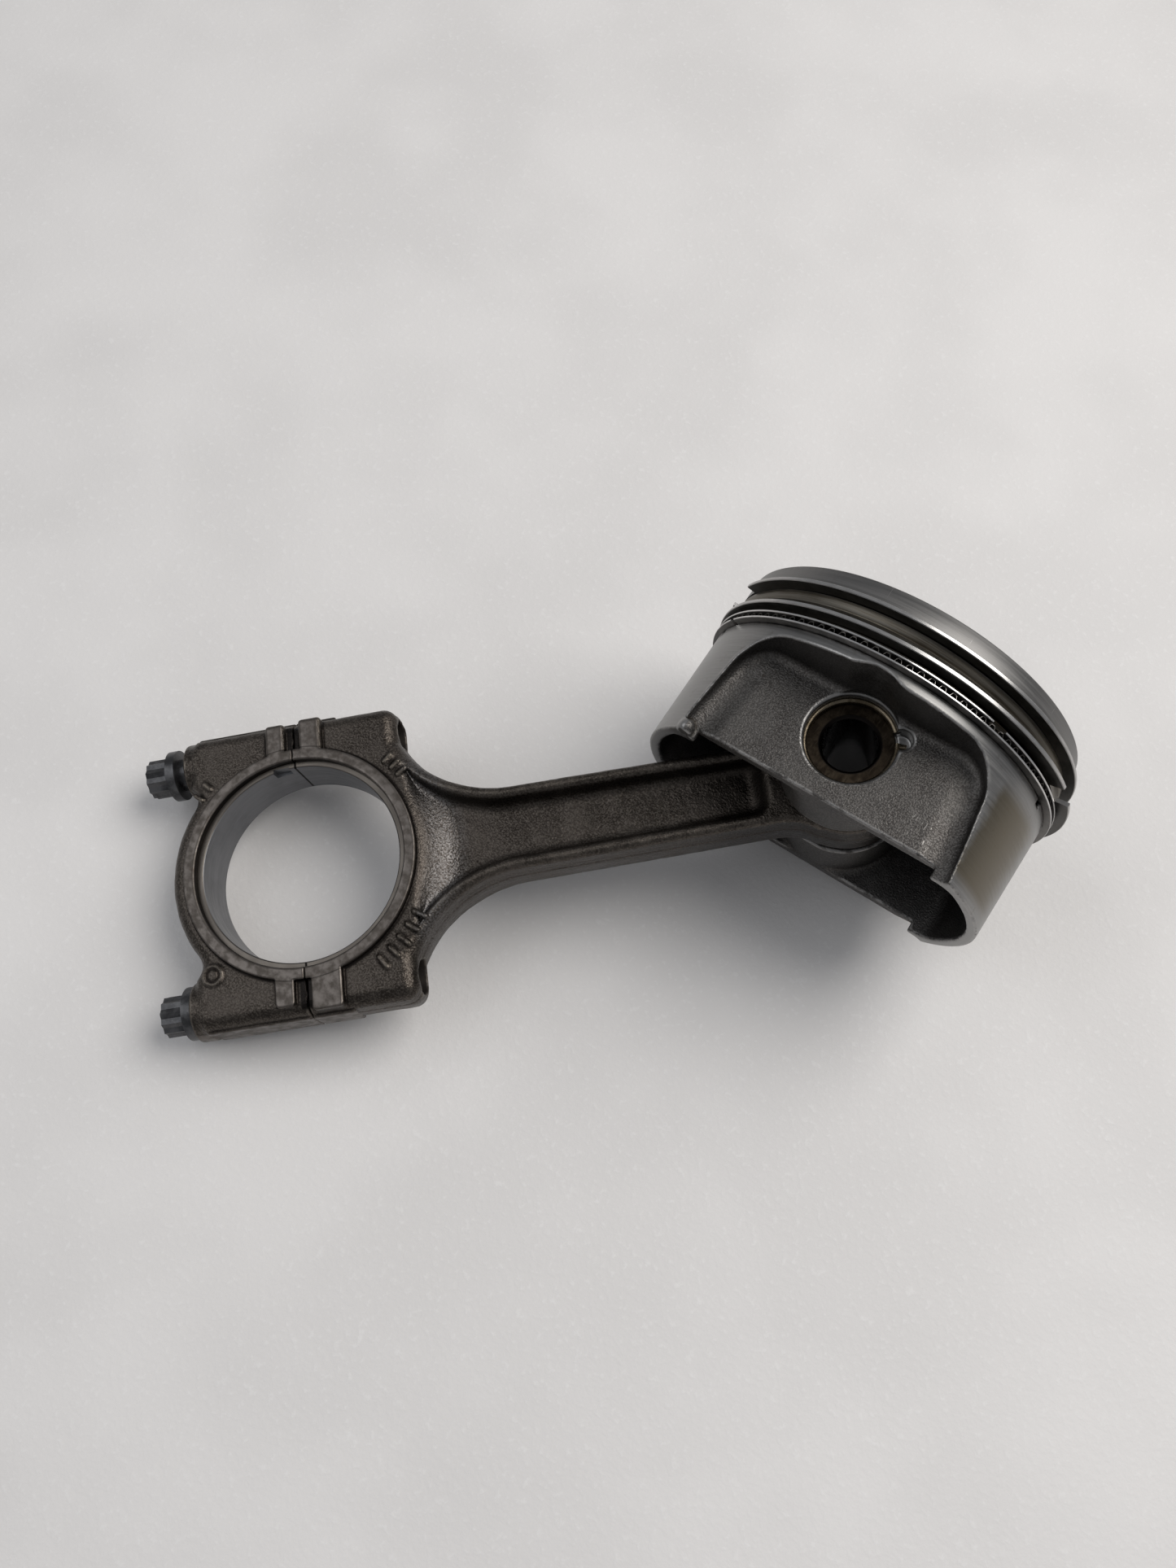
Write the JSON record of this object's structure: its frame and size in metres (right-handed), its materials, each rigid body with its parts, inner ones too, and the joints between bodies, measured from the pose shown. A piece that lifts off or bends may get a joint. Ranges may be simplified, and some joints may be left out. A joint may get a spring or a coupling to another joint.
{
  "type": "piston and connecting rod assembly",
  "caption": "Four-stroke engine piston with its rings, wrist pin, circlips and connecting rod with cap, bearing shells and bolts, jointed as it lies on a bench.",
  "frame": {"origin": "wrist pin centre, on the mid-plane of the piston", "axes": "+Z along the wrist pin, up as the assembly lies on its side; +Y along the piston axis towards the crown; +X completes the frame"},
  "size_m": [0.1949, 0.1648, 0.0906],
  "materials": {
    "piston_alloy": "cast and turned aluminium with oil varnish",
    "ring_iron": "dark sides and a bright running face",
    "rail_steel": "bright edge",
    "expander_steel": "carbon stained",
    "pin_steel": "ground steel with brown oil varnish",
    "clip_steel": "drawn spring wire",
    "forged_steel": "shot-peened forging, oily, with machined faces",
    "bush_bronze": "satin",
    "bearing_metal": "matte grey running layer",
    "bolt_steel": "black oxide"
  },
  "bodies": {
    "piston": {"piston": "piston_alloy", "circlip_front": "clip_steel", "circlip_rear": "clip_steel"},
    "rod": {"connecting_rod": "forged_steel", "small_end_bush": "bush_bronze", "rod_cap": "forged_steel", "upper_bearing_shell": "bearing_metal", "lower_bearing_shell": "bearing_metal", "rod_bolt_backed_out": "bolt_steel", "rod_bolt_seated": "bolt_steel"},
    "pin": {"wrist_pin": "pin_steel"},
    "top_ring": {"top_compression_ring": "ring_iron"},
    "second_ring": {"second_compression_ring": "ring_iron"},
    "upper_rail": {"oil_ring_upper_rail": "rail_steel"},
    "expander": {"oil_ring_expander": "expander_steel"},
    "lower_rail": {"oil_ring_lower_rail": "rail_steel"}
  },
  "joints": [
    {"name": "rod_swing", "type": "hinge", "parent": "piston", "child": "rod", "pos_m": [0, 0, 0], "axis": [0, 0, 1], "range_deg": [-3, 99]},
    {"name": "pin_turn", "type": "hinge", "parent": "piston", "child": "pin", "pos_m": [0, 0, 0], "axis": [0, 0, 1], "continuous": true},
    {"name": "top_ring_turn", "type": "hinge", "parent": "piston", "child": "top_ring", "pos_m": [0.0003, 0.0218, 0.0019], "axis": [0, 1, 0], "continuous": true},
    {"name": "second_ring_turn", "type": "hinge", "parent": "piston", "child": "second_ring", "pos_m": [0.0012, 0.0157, 0.0016], "axis": [0, 1, 0], "continuous": true},
    {"name": "upper_rail_turn", "type": "hinge", "parent": "piston", "child": "upper_rail", "pos_m": [0.0003, 0.0136, 0.0012], "axis": [0, 1, 0], "continuous": true},
    {"name": "expander_turn", "type": "hinge", "parent": "piston", "child": "expander", "pos_m": [0.0003, 0.0128, 0.0012], "axis": [0, 1, 0], "continuous": true},
    {"name": "lower_rail_turn", "type": "hinge", "parent": "piston", "child": "lower_rail", "pos_m": [0.0003, 0.012, 0.0012], "axis": [0, 1, 0], "continuous": true}
  ]
}
